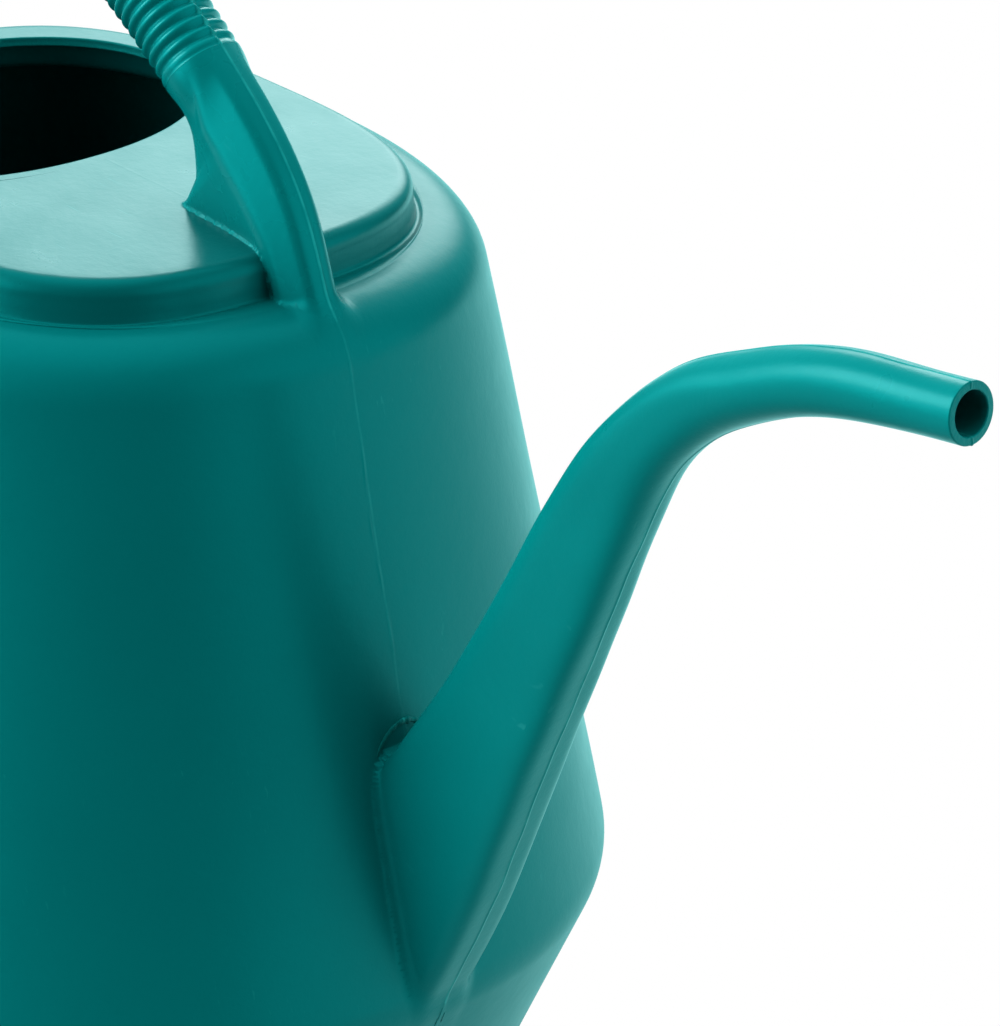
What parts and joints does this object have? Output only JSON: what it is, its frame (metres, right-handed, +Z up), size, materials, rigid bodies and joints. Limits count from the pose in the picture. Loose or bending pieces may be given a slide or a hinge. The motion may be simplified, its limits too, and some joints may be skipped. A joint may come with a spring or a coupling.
{
  "type": "watering can",
  "caption": "Blow-moulded garden watering can with a tapered oval body, a raised deck with a wide filling mouth, an arched hollow handle with a ribbed grip, and a gooseneck spout.",
  "frame": {"origin": "on the ground under the middle of the body, in the plane of the standing ring", "axes": "+X from the body towards the spout, +Y to the left of someone who looks along the spout, +Z up; the parting plane is y = 0"},
  "size_m": [0.4335, 0.2232, 0.3076],
  "materials": {
    "shell": "satin",
    "deck": "satin",
    "handle": "satin",
    "grip": "satin",
    "spout": "satin",
    "cut_edge": "knife-cut matte"
  },
  "bodies": {
    "root": {"base_pan": "shell", "lower_wall": "shell", "belly_band": "shell", "upper_wall": "shell", "shoulder_ring": "shell", "deck_wall": "deck", "deck_top": "deck", "mouth_lip": "cut_edge", "handle_front_leg": "handle", "handle_web": "handle", "handle_grip": "grip", "handle_rear_leg": "handle", "spout_trunk": "spout", "spout_neck": "spout", "spout_tip": "cut_edge"}
  },
  "joints": []
}
